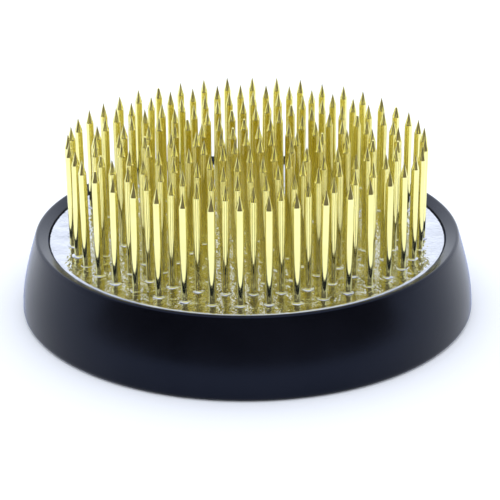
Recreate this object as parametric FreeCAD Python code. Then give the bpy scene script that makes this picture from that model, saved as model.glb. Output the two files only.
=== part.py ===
import FreeCAD, Part
import math
import os

# Round flower frog: a heavy cast disc that holds seven circles of upright pins round a middle
# one, and sits in a stretch-on rubber ring. Millimetres, +Z up, origin on the table under the
# middle of the disc.

# Overall
overall_diameter = 73.0  # the rubber ring at its widest, just above the table
overall_height = 29.1  # table to pin tips

# Rubber ring: a bumper with an inward flange that the disc stands on
ring_height = 12.75  # to the crest of the lip, before it is rounded
wall_lean = 2.65  # how far the outer wall comes in from its foot to the crest
lip_width = 1.9  # from the crest in to the bore
lip_dish = 0.9  # how far the lip falls from the crest to the bore
flange_thickness = 3.2
flange_width = 6.0  # how far the flange reaches in under the disc
foot_round = 0.8  # radius of the bottom outer edge
lip_round = 0.5  # radius of the crest
bore_round = 0.3  # radius of the edge where the lip meets the bore

# Cast disc
disc_clearance = 0.05  # radial gap between the disc and the ring's bore
disc_recess = 0.05  # how far the disc's top lies below the lip's inner edge
disc_top_round = 0.5
disc_bottom_round = 0.3

# Pins: brass wire with a four-sided point, cast into the disc
pin_rows = 7  # circles of pins round the middle pin
pins_per_row_step = 6  # each circle has this many pins more than the one inside it
pin_margin = 3.9  # from the disc's edge in to the outermost circle of pins
row_turn = 2.3  # degrees that each circle's first pin is turned from the X axis
wire_diameter = 1.25
metal_under_pins = 2.2  # disc metal left below the blind pin holes
point_length = 2.5  # length of the four ground faces
tip_width = 0.06  # the small flat that is left at the very tip

# Worked out from the sizes above
foot_radius = overall_diameter / 2
lip_radius = foot_radius - wall_lean
bore_radius = lip_radius - lip_width
flange_radius = bore_radius - flange_width
disc_radius = bore_radius - disc_clearance
disc_bottom = flange_thickness
bore_top = ring_height - lip_dish
disc_top = bore_top - disc_recess
pin_pitch = (disc_radius - pin_margin) / pin_rows
pin_bottom = disc_bottom + metal_under_pins
wire_radius = wire_diameter / 2

UP = FreeCAD.Vector(0, 0, 1)
CENTRE = FreeCAD.Vector(0, 0, 0)


def section_point(radius, height):
    """A point of a turned section, in the XZ plane."""
    return FreeCAD.Vector(radius, 0, height)


def rim(solid, radius, height):
    """The circular edges of a turned solid at one radius and height."""
    circles = [edge for edge in solid.Edges if isinstance(edge.Curve, Part.Circle)]
    return [
        edge
        for edge in circles
        if math.isclose(edge.Curve.Radius, radius) and math.isclose(edge.Curve.Center.z, height)
    ]


def make_rubber_ring():
    """Turned bumper: an outer wall that curves in to a crest, and a lip that falls to the bore."""
    wall_rise = ring_height - foot_round
    wall_curve = (wall_lean**2 + wall_rise**2) / (2 * wall_lean)
    half_lean = math.asin(wall_rise / wall_curve) / 2
    half_foot = math.radians(45)

    flange_inner_bottom = section_point(flange_radius, 0)
    foot_inner = section_point(foot_radius - foot_round, 0)
    foot_middle = section_point(
        foot_radius - foot_round + foot_round * math.sin(half_foot),
        foot_round - foot_round * math.cos(half_foot),
    )
    foot_outer = section_point(foot_radius, foot_round)
    wall_middle = section_point(
        foot_radius - wall_curve + wall_curve * math.cos(half_lean),
        foot_round + wall_curve * math.sin(half_lean),
    )
    crest = section_point(lip_radius, ring_height)
    lip_inner = section_point(bore_radius, bore_top)
    bore_bottom = section_point(bore_radius, flange_thickness)
    flange_inner_top = section_point(flange_radius, flange_thickness)

    section = Part.Wire(
        [
            Part.makeLine(flange_inner_bottom, foot_inner),
            Part.Arc(foot_inner, foot_middle, foot_outer).toShape(),
            Part.Arc(foot_outer, wall_middle, crest).toShape(),
            Part.makeLine(crest, lip_inner),
            Part.makeLine(lip_inner, bore_bottom),
            Part.makeLine(bore_bottom, flange_inner_top),
            Part.makeLine(flange_inner_top, flange_inner_bottom),
        ]
    )
    ring = Part.Face(section).revolve(CENTRE, UP, 360)
    ring = ring.makeFillet(lip_round, rim(ring, lip_radius, ring_height))
    return ring.makeFillet(bore_round, rim(ring, bore_radius, bore_top))


def pin_places(row):
    """The pins of one circle as (x, y, turn in degrees); circle 0 is the middle pin alone."""
    count = max(1, row * pins_per_row_step)
    radius = row * pin_pitch
    turns = [row_turn + 360 * step / count for step in range(count)]
    return [
        (radius * math.cos(math.radians(turn)), radius * math.sin(math.radians(turn)), turn)
        for turn in turns
    ]


def make_disc():
    """Cast disc with rounded edges and a blind hole round each pin's root."""
    disc = Part.makeCylinder(
        disc_radius, disc_top - disc_bottom, section_point(0, disc_bottom), UP
    )
    disc = disc.makeFillet(disc_top_round, rim(disc, disc_radius, disc_top))
    disc = disc.makeFillet(disc_bottom_round, rim(disc, disc_radius, disc_bottom))
    holes = [
        Part.makeCylinder(
            wire_radius, disc_top - pin_bottom, FreeCAD.Vector(x, y, pin_bottom), UP
        )
        for row in range(pin_rows + 1)
        for x, y, _ in pin_places(row)
    ]
    return disc.cut(Part.makeCompound(holes))


def make_pin():
    """One pin on the Z axis: round wire whose top is ground to a four-sided point."""
    length = overall_height - pin_bottom
    wire = Part.makeCylinder(wire_radius, length, section_point(0, pin_bottom), UP)
    half_tip = tip_width / 2
    spread = (wire_radius - half_tip) / point_length
    half_base = half_tip + spread * length
    grinding = Part.makeWedge(
        -half_base, 0, -half_base, -half_tip, -half_tip,
        half_base, length, half_base, half_tip, half_tip,
    )
    grinding.rotate(CENTRE, FreeCAD.Vector(1, 0, 0), 90)
    grinding.translate(section_point(0, pin_bottom))
    return wire.common(grinding).Solids[0]


def make_pin_row(row):
    """The pins of one circle, each a separate solid."""
    pattern_pin = make_pin()
    pins = []
    for x, y, turn in pin_places(row):
        pin = pattern_pin.copy()
        pin.rotate(CENTRE, UP, turn)
        pin.translate(FreeCAD.Vector(x, y, 0))
        pins.append(pin)
    return pins[0] if len(pins) == 1 else Part.makeCompound(pins)


pieces = {
    "rubber_ring": make_rubber_ring(),
    "cast_disc": make_disc(),
    "middle_pin": make_pin_row(0),
}
for circle in range(1, pin_rows + 1):
    pieces[f"pin_circle_{circle}"] = make_pin_row(circle)

os.makedirs("parts", exist_ok=True)
for node, shape in pieces.items():
    shape.exportStep(f"parts/{node}.step")
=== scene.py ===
import math
import random

import bmesh
import bpy
from mathutils import Matrix, Vector, noise


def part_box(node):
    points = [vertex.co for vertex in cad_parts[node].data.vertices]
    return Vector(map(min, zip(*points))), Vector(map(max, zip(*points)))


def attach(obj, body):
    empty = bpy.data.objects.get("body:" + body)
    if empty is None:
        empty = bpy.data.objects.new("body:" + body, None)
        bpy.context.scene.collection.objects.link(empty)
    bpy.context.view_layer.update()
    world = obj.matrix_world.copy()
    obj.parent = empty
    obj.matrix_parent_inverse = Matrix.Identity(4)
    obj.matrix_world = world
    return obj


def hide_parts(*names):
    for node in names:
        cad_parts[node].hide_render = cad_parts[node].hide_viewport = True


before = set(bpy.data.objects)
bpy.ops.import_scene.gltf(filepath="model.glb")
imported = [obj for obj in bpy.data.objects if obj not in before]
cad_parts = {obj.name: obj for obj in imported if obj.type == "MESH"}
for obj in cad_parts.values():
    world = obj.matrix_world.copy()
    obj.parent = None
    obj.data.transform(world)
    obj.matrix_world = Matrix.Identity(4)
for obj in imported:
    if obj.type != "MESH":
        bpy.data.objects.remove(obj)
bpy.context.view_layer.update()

# A round flower frog: brass pins cast into a bright metal disc, held in a black rubber ring.
# Sizes that the frame has are read from it, and the rest are in millimetres times MM.
MM = 0.001
UP = Vector((0, 0, 1))
SAME_PLACE = 0.01 * MM  # closer than this counts as the same height or radius
MERGE_GAP = 0.001 * MM

_, ring_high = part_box("rubber_ring")
disc_low, disc_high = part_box("cast_disc")
pin_low, pin_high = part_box("middle_pin")
FOOT_RADIUS = ring_high.x
DISC_RADIUS = disc_high.x
DISC_TOP = disc_high.z
DISC_BOTTOM = disc_low.z
WIRE_RADIUS = (pin_high.x - pin_low.x) / 2
PIN_BOTTOM = pin_low.z
PIN_TOP = pin_high.z

PIN_NODES = ["middle_pin"] + [f"pin_circle_{circle}" for circle in range(1, 8)]
PINS_PER_CIRCLE_STEP = 6


# ---------------------------------------------------------------- small helpers


def colour(code):
    """An sRGB hex colour as the linear RGBA that a socket holds."""
    channels = [int(code[at : at + 2], 16) / 255 for at in (1, 3, 5)]
    linear = [
        c / 12.92 if c <= 0.04045 else ((c + 0.055) / 1.055) ** 2.4 for c in channels
    ]
    return (*linear, 1)


def add(tree, kind, sockets=None, **settings):
    """Adds a node, sets its properties, and gives its sockets a value or a link each."""
    made = tree.nodes.new("ShaderNode" + kind)
    for name, value in settings.items():
        setattr(made, name, value)
    for name, value in (sockets or {}).items():
        if isinstance(value, bpy.types.NodeSocket):
            tree.links.new(value, made.inputs[name])
        else:
            made.inputs[name].default_value = value
    return made


def new_material(name):
    """An empty node material and its tree, with the object coordinates that patterns use."""
    material = bpy.data.materials.new(name)
    material.use_nodes = True
    tree = material.node_tree
    tree.nodes.clear()
    return material, tree, add(tree, "TexCoord").outputs["Object"]


def finish_material(tree, shader):
    """Joins a shader to the material's output."""
    add(tree, "OutputMaterial", {"Surface": shader.outputs["BSDF"]})


def piece(name, shape, material, body, nodes):
    """Makes a bmesh a piece of the object that rides on a body and stands for CAD nodes."""
    mesh = bpy.data.meshes.new(name)
    shape.to_mesh(mesh)
    shape.free()
    mesh.materials.append(material)
    made = bpy.data.objects.new(name, mesh)
    bpy.context.scene.collection.objects.link(made)
    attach(made, body)
    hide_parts(*nodes)
    return made


def turned(section, steps, closed):
    """A section of (radius, height) points turned round the Z axis."""
    shape = bmesh.new()
    points = [shape.verts.new((radius, 0, height)) for radius, height in section]
    pairs = list(zip(points, points[1:]))
    if closed:
        pairs.append((points[-1], points[0]))
    line = [shape.edges.new(pair) for pair in pairs]
    bmesh.ops.spin(
        shape, geom=points + line, cent=(0, 0, 0), axis=UP, angle=math.tau, steps=steps, use_merge=True
    )
    bmesh.ops.remove_doubles(shape, verts=shape.verts, dist=MERGE_GAP)
    bmesh.ops.recalc_face_normals(shape, faces=shape.faces)
    return shape


def rim(shape, radius, height):
    """The edges of a turned shape that run round it at one radius and height."""
    at_rim = {
        vertex
        for vertex in shape.verts
        if abs(math.hypot(vertex.co.x, vertex.co.y) - radius) < SAME_PLACE
        and abs(vertex.co.z - height) < SAME_PLACE
    }
    return [edge for edge in shape.edges if set(edge.verts) <= at_rim]


def round_edge(shape, edges, size, segments):
    """Rounds sharp edges."""
    bmesh.ops.bevel(
        shape, geom=edges, offset=size, offset_type="OFFSET", segments=segments,
        profile=0.5, affect="EDGES", clamp_overlap=True, material=-1,
    )


def smooth(shape):
    """Shades every face smooth."""
    for face in shape.faces:
        face.smooth = True


# ---------------------------------------------------------------- materials


def make_rubber():
    """Black nitrile rubber, press moulded: a satin skin that mirrors pale surroundings at a slant."""
    material, tree, place = new_material("moulded black rubber")
    grain = add(tree, "TexNoise", {"Vector": place, "Scale": 1 / (0.35 * MM), "Detail": 3.0})
    clouds = add(tree, "TexNoise", {"Vector": place, "Scale": 1 / (9 * MM), "Detail": 4.0})
    roughness = add(
        tree, "MapRange", {"Value": clouds.outputs["Fac"], "To Min": 0.18, "To Max": 0.28}
    )
    tone = add(tree, "MapRange", {"Value": clouds.outputs["Fac"], "From Min": 0.35, "From Max": 0.65})
    base = add(
        tree,
        "MixRGB",
        {"Fac": tone.outputs["Result"], "Color1": colour("#040407"), "Color2": colour("#09090e")},
    )
    bump = add(
        tree, "Bump", {"Height": grain.outputs["Fac"], "Strength": 0.12, "Distance": 0.05 * MM}
    )
    shader = add(
        tree,
        "BsdfPrincipled",
        {
            "Base Color": base.outputs["Color"],
            "Roughness": roughness.outputs["Result"],
            "IOR": 1.33,
            "Specular Tint": colour("#b9ccff"),
            "Sheen Weight": 0.65,
            "Sheen Roughness": 0.14,
            "Sheen Tint": colour("#8fb0ff"),
            "Normal": bump.outputs["Normal"],
        },
    )
    finish_material(tree, shader)
    return material


def make_cast_metal():
    """Lead-tin alloy, poured round the pins: bright, with ripples and small dimples from cooling."""
    material, tree, place = new_material("cast lead tin alloy")
    ripples = add(
        tree, "TexNoise", {"Vector": place, "Scale": 1 / (1.1 * MM), "Detail": 2.0, "Roughness": 0.6}
    )
    clouds = add(tree, "TexNoise", {"Vector": place, "Scale": 1 / (6 * MM), "Detail": 3.0})
    tone = add(tree, "MapRange", {"Value": clouds.outputs["Fac"], "From Min": 0.3, "From Max": 0.7})
    base = add(
        tree,
        "MixRGB",
        {"Fac": tone.outputs["Result"], "Color1": colour("#a8aab0"), "Color2": colour("#bec0c6")},
    )
    roughness = add(
        tree, "MapRange", {"Value": clouds.outputs["Fac"], "To Min": 0.06, "To Max": 0.18}
    )
    bump = add(
        tree, "Bump", {"Height": ripples.outputs["Fac"], "Strength": 0.6, "Distance": 0.25 * MM}
    )
    shader = add(
        tree,
        "BsdfPrincipled",
        {
            "Base Color": base.outputs["Color"],
            "Metallic": 1.0,
            "Roughness": roughness.outputs["Result"],
            "Normal": bump.outputs["Normal"],
        },
    )
    finish_material(tree, shader)
    return material


def make_brass():
    """Bright drawn brass wire: a pale lemon mirror with fine lines along it from the drawing die."""
    material, tree, place = new_material("drawn brass wire")
    stretched = add(
        tree, "Mapping", {"Vector": place, "Scale": (1 / (0.12 * MM), 1 / (0.12 * MM), 1 / (6 * MM))}
    )
    lines = add(
        tree, "TexNoise", {"Vector": stretched.outputs["Vector"], "Scale": 1.0, "Detail": 2.0}
    )
    patches = add(tree, "TexNoise", {"Vector": place, "Scale": 1 / (3.5 * MM), "Detail": 3.0})
    tone = add(tree, "MapRange", {"Value": patches.outputs["Fac"], "From Min": 0.3, "From Max": 0.7})
    base = add(
        tree,
        "MixRGB",
        {"Fac": tone.outputs["Result"], "Color1": colour("#f2ea9c"), "Color2": colour("#faf3ab")},
    )
    roughness = add(
        tree, "MapRange", {"Value": lines.outputs["Fac"], "To Min": 0.06, "To Max": 0.16}
    )
    bump = add(
        tree, "Bump", {"Height": lines.outputs["Fac"], "Strength": 0.1, "Distance": 0.02 * MM}
    )
    shader = add(
        tree,
        "BsdfPrincipled",
        {
            "Base Color": base.outputs["Color"],
            "Metallic": 1.0,
            "Roughness": roughness.outputs["Result"],
            "Normal": bump.outputs["Normal"],
        },
    )
    finish_material(tree, shader)
    return material


# ---------------------------------------------------------------- rubber ring

CREST_HEIGHT = 12.75 * MM  # before the crest is rounded
WALL_LEAN = 2.65 * MM
LOW_WALL = 6.0 * MM  # the lower part of the wall curves in faster than the rest
LOW_WALL_LEAN = math.radians(13.5)
LIP_WIDTH = 1.9 * MM
LIP_DISH = 0.9 * MM  # how far the lip falls towards the bore
FLANGE_WIDTH = 6.0 * MM
FOOT_ROUND = 0.8 * MM
LIP_ROUND = 0.5 * MM
BORE_ROUND = 0.1 * MM
RING_STEPS = 240
ARC_POINTS = 6


def wall_arc(start, rise, lean_from, lean_to):
    """Points of an arc that climbs from a start, leaning in at one angle and then at another."""
    curve = rise / (math.sin(lean_to) - math.sin(lean_from))
    leans = [lean_from + (lean_to - lean_from) * at / ARC_POINTS for at in range(ARC_POINTS + 1)]
    return [
        (
            start[0] - curve * (math.cos(lean_from) - math.cos(lean)),
            start[1] + curve * (math.sin(lean) - math.sin(lean_from)),
        )
        for lean in leans
    ]


def make_rubber_ring(material):
    """The bumper: an outer wall that curves in to a crest, and a lip dished towards the bore."""
    crest_radius = FOOT_RADIUS - WALL_LEAN
    bore_radius = crest_radius - LIP_WIDTH
    flange_radius = bore_radius - FLANGE_WIDTH
    low_wall = wall_arc((FOOT_RADIUS, 0), LOW_WALL, 0, LOW_WALL_LEAN)
    high_rise = CREST_HEIGHT - LOW_WALL
    mean_lean = math.atan((low_wall[-1][0] - crest_radius) / high_rise)
    high_wall = wall_arc(low_wall[-1], high_rise, LOW_WALL_LEAN, 2 * mean_lean - LOW_WALL_LEAN)
    section = low_wall + high_wall[1:] + [
        (bore_radius, CREST_HEIGHT - LIP_DISH),
        (bore_radius, DISC_BOTTOM),
        (flange_radius, DISC_BOTTOM),
        (flange_radius, 0),
    ]
    shape = turned(section, RING_STEPS, closed=True)
    round_edge(shape, rim(shape, FOOT_RADIUS, 0), FOOT_ROUND, segments=5)
    round_edge(shape, rim(shape, crest_radius, CREST_HEIGHT), LIP_ROUND, segments=5)
    round_edge(shape, rim(shape, bore_radius, CREST_HEIGHT - LIP_DISH), BORE_ROUND, segments=4)
    smooth(shape)
    return piece("moulded_ring", shape, material, "ring", ["rubber_ring"])


# ---------------------------------------------------------------- pins

PIN_SIDES = 12
CORNER_TURN = math.radians(15)  # puts a corner of the wire under each corner of the point
POINT_LENGTH = 2.2 * MM
SHOULDER = 0.15 * MM  # from the round wire to the square foot of the point
POINT_HALF_SQUARE = 0.53 * MM
SHARP_TIP = 0.05  # share of the point's foot that is left at the tip
BLUNT_TIP = 0.3
BLUNT_SHARE = 0.08
MAX_LEAN = 0.8  # degrees
MAX_DROP = 0.3 * MM
PIN_SEED = 11


def circle_of(node, count):
    """Radius and first angle of a circle of pins, read from the tips of its CAD pins."""
    tips = [
        vertex.co
        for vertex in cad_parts[node].data.vertices
        if vertex.co.z > PIN_TOP - SAME_PLACE
    ]
    spacing = math.tau / count
    radius = sum(math.hypot(tip.x, tip.y) for tip in tips) / len(tips)
    first = sum(math.atan2(tip.y, tip.x) % spacing for tip in tips) / len(tips)
    return radius, first


def pin_places():
    """Each pin node's name with the (x, y) of its pins."""
    places = {"middle_pin": [(0.0, 0.0)]}
    for circle, node in enumerate(PIN_NODES[1:], start=1):
        count = circle * PINS_PER_CIRCLE_STEP
        radius, first = circle_of(node, count)
        angles = [first + math.tau * step / count for step in range(count)]
        places[node] = [(radius * math.cos(a), radius * math.sin(a)) for a in angles]
    return places


def make_pin(tip_share):
    """One pin on the Z axis: round wire, a small shoulder, and four ground faces up to the tip."""
    shape = bmesh.new()
    bmesh.ops.create_circle(
        shape, cap_ends=True, segments=PIN_SIDES, radius=WIRE_RADIUS,
        matrix=Matrix.Translation((0, 0, PIN_BOTTOM)) @ Matrix.Rotation(CORNER_TURN, 4, "Z"),
    )
    edges = list(shape.edges)

    def extrude(height):
        grown = bmesh.ops.extrude_edge_only(shape, edges=edges)["geom"]
        ring = [item for item in grown if isinstance(item, bmesh.types.BMVert)]
        edges[:] = [item for item in grown if isinstance(item, bmesh.types.BMEdge)]
        for vertex in ring:
            vertex.co.z = height
        return ring

    bottom = list(edges)
    extrude(PIN_TOP - POINT_LENGTH - SHOULDER)
    for face in shape.faces:
        face.smooth = len(face.verts) == 4
    for edge in bottom + edges:
        edge.smooth = False
    point_foot = extrude(PIN_TOP - POINT_LENGTH)
    for vertex in point_foot:
        reach = min(1, POINT_HALF_SQUARE / max(abs(vertex.co.x), abs(vertex.co.y)))
        vertex.co.x *= reach
        vertex.co.y *= reach
    tip = extrude(PIN_TOP - POINT_LENGTH * tip_share)
    bmesh.ops.scale(shape, vec=(tip_share, tip_share, 1), verts=tip)
    bmesh.ops.contextual_create(shape, geom=edges)
    bmesh.ops.recalc_face_normals(shape, faces=shape.faces)
    mesh = bpy.data.meshes.new("pin pattern")
    shape.to_mesh(mesh)
    shape.free()
    return mesh


def make_pins(places, material):
    """All the pins, one piece for each CAD node. Each pin leans and is turned a little its own way."""
    draw = random.Random(PIN_SEED)
    sharp = make_pin(SHARP_TIP)
    blunt = make_pin(BLUNT_TIP)
    for node, spots in places.items():
        shape = bmesh.new()
        for x, y in spots:
            before = len(shape.verts)
            shape.from_mesh(blunt if draw.random() < BLUNT_SHARE else sharp)
            shape.verts.ensure_lookup_table()
            turn = Matrix.Rotation(draw.uniform(0, math.tau), 4, "Z")
            lean_way = draw.uniform(0, math.tau)
            lean_axis = Vector((math.cos(lean_way), math.sin(lean_way), 0))
            lean = Matrix.Rotation(math.radians(draw.uniform(0, MAX_LEAN)), 4, lean_axis)
            root = Matrix.Translation((0, 0, DISC_TOP))
            drop = Matrix.Translation((x, y, -draw.uniform(0, MAX_DROP)))
            bmesh.ops.transform(
                shape,
                matrix=drop @ root @ lean @ root.inverted() @ turn,
                verts=shape.verts[before:],
            )
        piece(node + "_wire", shape, material, "pin_block", [node])
    bpy.data.meshes.remove(sharp)
    bpy.data.meshes.remove(blunt)


# ---------------------------------------------------------------- cast disc

DISC_STEPS = 320
DISC_GRID = 0.5 * MM
DISC_TOP_ROUND = 0.6 * MM
DISC_BOTTOM_ROUND = 0.3 * MM
RIPPLE_HEIGHT = 0.08 * MM
RIPPLE_WIDTH = 3.0 * MM
RIPPLE_FALLOFF = 1.0
RIPPLE_LACUNARITY = 2.0
RIPPLE_OCTAVES = 3
FLAT_BY_RIM = 1.0 * MM  # the ripples fade out over this far from the rounded edge
COLLAR_SIDES = 16
# Each step of a collar: its share of the reach, and its share of the height
COLLAR_CURVE = ((0.1, 0.8), (0.45, 0.6), (0.75, 0.45), (0.92, 0.2), (1.0, -0.2))
COLLAR_HEIGHT = 0.17 * MM
COLLAR_REACH = 0.4 * MM
COLLAR_OVERLAP = 0.03 * MM  # how far each collar goes into its pin
COLLAR_SEED = 5


def ripple(point):
    """How far the cast top lies below the CAD's flat one at a point, as a negative height."""
    from_rim = DISC_RADIUS - DISC_TOP_ROUND - math.hypot(point.x, point.y)
    height = noise.fractal(point / RIPPLE_WIDTH, RIPPLE_FALLOFF, RIPPLE_LACUNARITY, RIPPLE_OCTAVES) - 1
    return RIPPLE_HEIGHT * height * max(0, min(1, from_rim / FLAT_BY_RIM))


def make_disc_shape():
    """The cast body, with slow ripples over its top."""
    rings = int(DISC_RADIUS / DISC_GRID)
    top = [(DISC_RADIUS * at / rings, DISC_TOP) for at in range(rings + 1)]
    section = top + [(DISC_RADIUS, DISC_BOTTOM), (0, DISC_BOTTOM)]
    shape = turned(section, DISC_STEPS, closed=False)
    round_edge(shape, rim(shape, DISC_RADIUS, DISC_TOP), DISC_TOP_ROUND, segments=5)
    round_edge(shape, rim(shape, DISC_RADIUS, DISC_BOTTOM), DISC_BOTTOM_ROUND, segments=3)
    for vertex in shape.verts:
        if vertex.co.z > DISC_TOP - SAME_PLACE:
            vertex.co.z += ripple(vertex.co)
    smooth(shape)
    return shape


def add_collars(shape, places):
    """The metal that crept up each pin as it set: a small hollow-curved collar."""
    draw = random.Random(COLLAR_SEED)
    for spots in places.values():
        for x, y in spots:
            floor = DISC_TOP + ripple(Vector((x, y, DISC_TOP)))
            high = COLLAR_HEIGHT * draw.uniform(0.6, 1.5)
            wide = COLLAR_REACH * draw.uniform(0.8, 1.3)
            ring = bmesh.ops.create_circle(
                shape, cap_ends=False, segments=COLLAR_SIDES, radius=WIRE_RADIUS - COLLAR_OVERLAP,
                matrix=Matrix.Translation((x, y, floor + high)),
            )["verts"]
            edges = list({edge for vertex in ring for edge in vertex.link_edges})
            for reach, rise in COLLAR_CURVE:
                grown = bmesh.ops.extrude_edge_only(shape, edges=edges)["geom"]
                ring = [item for item in grown if isinstance(item, bmesh.types.BMVert)]
                edges = [item for item in grown if isinstance(item, bmesh.types.BMEdge)]
                radius = WIRE_RADIUS + wide * reach
                for vertex in ring:
                    away = Vector((vertex.co.x - x, vertex.co.y - y, 0)).normalized()
                    vertex.co = Vector((x, y, floor + high * rise)) + away * radius
                for item in grown:
                    if isinstance(item, bmesh.types.BMEdge):
                        for face in item.link_faces:
                            face.smooth = True


def make_cast_disc(places, material):
    """The cast body with a collar round each pin, as one piece."""
    shape = make_disc_shape()
    add_collars(shape, places)
    bmesh.ops.recalc_face_normals(shape, faces=shape.faces)
    return piece("cast_disc_metal", shape, material, "pin_block", ["cast_disc"])


# ---------------------------------------------------------------- stage, light and camera

FLOOR_SIZE = 6
BACK_LIGHT = 1.85
SIDES_LIGHT = 1.05
CEILING_LIGHT = 1.35
ROOM_NEAR = 0.11
ROOM_FAR = 0.9
ROOM_HEIGHT = 0.62
ROOM_HALF_ANGLE = math.radians(75)
ROOM_STEPS = 32
ROOM_LIFT = 1 * MM  # clear of the floor
SOFTBOX_SIZE = 1.5
SOFTBOX_WATTS = 2.2
SOFTBOX_PLACE = (0.05, -0.5, 0.87)
BOUNCES = 16  # light goes back and forth between the pins many times

CAMERA_ELEVATION = math.radians(23.19)
CAMERA_ROLL = math.radians(-0.33)
CAMERA_TARGET = Vector((0.45, 0, 8.47)) * MM
CAMERA_DISTANCE = 283.1 * MM
CAMERA_LENS = 125.6
CAMERA_SENSOR = 36


def make_stage():
    """A white floor, pale walls brightest behind, and the dark end of the room past the camera."""
    floor_material = bpy.data.materials.new("white paper")
    floor_material.use_nodes = True
    shader = floor_material.node_tree.nodes["Principled BSDF"]
    shader.inputs["Base Color"].default_value = colour("#f6f6f7")
    shader.inputs["Roughness"].default_value = 1.0
    shader.inputs["Specular IOR Level"].default_value = 0.0
    bpy.ops.mesh.primitive_plane_add(size=FLOOR_SIZE, location=(0, 0, 0))
    floor = bpy.context.object
    floor.name = "floor"
    floor.data.materials.append(floor_material)

    world = bpy.data.worlds.new("studio")
    bpy.context.scene.world = world
    world.use_nodes = True
    tree = world.node_tree
    direction = add(tree, "SeparateXYZ", {"Vector": add(tree, "TexCoord").outputs["Generated"]})
    walls = add(
        tree,
        "MapRange",
        {
            "Value": direction.outputs["Y"], "From Min": -0.1, "From Max": 0.6,
            "To Min": SIDES_LIGHT, "To Max": BACK_LIGHT,
        },
        interpolation_type="SMOOTHSTEP",
    )
    overhead = add(
        tree,
        "MapRange",
        {"Value": direction.outputs["Z"], "From Min": 0.45, "From Max": 0.8},
        interpolation_type="SMOOTHSTEP",
    )
    strength = add(
        tree,
        "Mix",
        {
            "Factor": overhead.outputs["Result"],
            "A": walls.outputs["Result"],
            "B": CEILING_LIGHT,
        },
    )
    background = tree.nodes["Background"]
    background.inputs["Color"].default_value = colour("#eef4ff")
    tree.links.new(strength.outputs["Result"], background.inputs["Strength"])

    lamp = bpy.data.lights.new("softbox", "AREA")
    lamp.size = SOFTBOX_SIZE
    lamp.energy = SOFTBOX_WATTS
    softbox = bpy.data.objects.new("softbox", lamp)
    softbox.location = SOFTBOX_PLACE
    softbox.rotation_euler = Vector(softbox.location).to_track_quat("Z", "Y").to_euler()
    bpy.context.scene.collection.objects.link(softbox)

    dark_material = bpy.data.materials.new("dark end of the room")
    dark_material.use_nodes = True
    dark = dark_material.node_tree.nodes["Principled BSDF"]
    dark.inputs["Base Color"].default_value = colour("#635c52")
    dark.inputs["Roughness"].default_value = 1.0
    shape = bmesh.new()
    section = ((ROOM_NEAR, ROOM_LIFT), (ROOM_FAR, ROOM_LIFT), (ROOM_FAR, ROOM_HEIGHT))
    points = [shape.verts.new((0, -radius, height)) for radius, height in section]
    line = [shape.edges.new(pair) for pair in zip(points, points[1:])]
    bmesh.ops.rotate(
        shape, verts=shape.verts, cent=(0, 0, 0), matrix=Matrix.Rotation(-ROOM_HALF_ANGLE, 3, "Z")
    )
    bmesh.ops.spin(
        shape, geom=points + line, cent=(0, 0, 0), axis=UP, angle=2 * ROOM_HALF_ANGLE,
        steps=ROOM_STEPS, use_merge=False,
    )
    mesh = bpy.data.meshes.new("dark_room_end")
    shape.to_mesh(mesh)
    shape.free()
    mesh.materials.append(dark_material)
    room_end = bpy.data.objects.new("dark_room_end", mesh)
    bpy.context.scene.collection.objects.link(room_end)
    room_end.visible_camera = False
    room_end.visible_diffuse = False
    room_end.visible_shadow = False


def make_camera():
    """Looks down at the front from a little over three widths away."""
    back = Vector((0, -math.cos(CAMERA_ELEVATION), math.sin(CAMERA_ELEVATION)))
    camera_data = bpy.data.cameras.new("camera")
    camera_data.lens = CAMERA_LENS
    camera_data.sensor_width = CAMERA_SENSOR
    camera_data.clip_start = 0.01
    camera = bpy.data.objects.new("camera", camera_data)
    bpy.context.scene.collection.objects.link(camera)
    facing = back.to_track_quat("Z", "Y").to_matrix().to_4x4()
    place = Matrix.Translation(CAMERA_TARGET + back * CAMERA_DISTANCE)
    camera.matrix_world = place @ facing @ Matrix.Rotation(CAMERA_ROLL, 4, "Z")
    bpy.context.scene.camera = camera


rubber = make_rubber()
cast_metal = make_cast_metal()
brass = make_brass()
places = pin_places()
make_rubber_ring(rubber)
make_cast_disc(places, cast_metal)
make_pins(places, brass)
make_stage()
make_camera()
bpy.context.scene.view_settings.view_transform = "Standard"
bpy.context.scene.cycles.max_bounces = BOUNCES
bpy.context.scene.cycles.glossy_bounces = BOUNCES
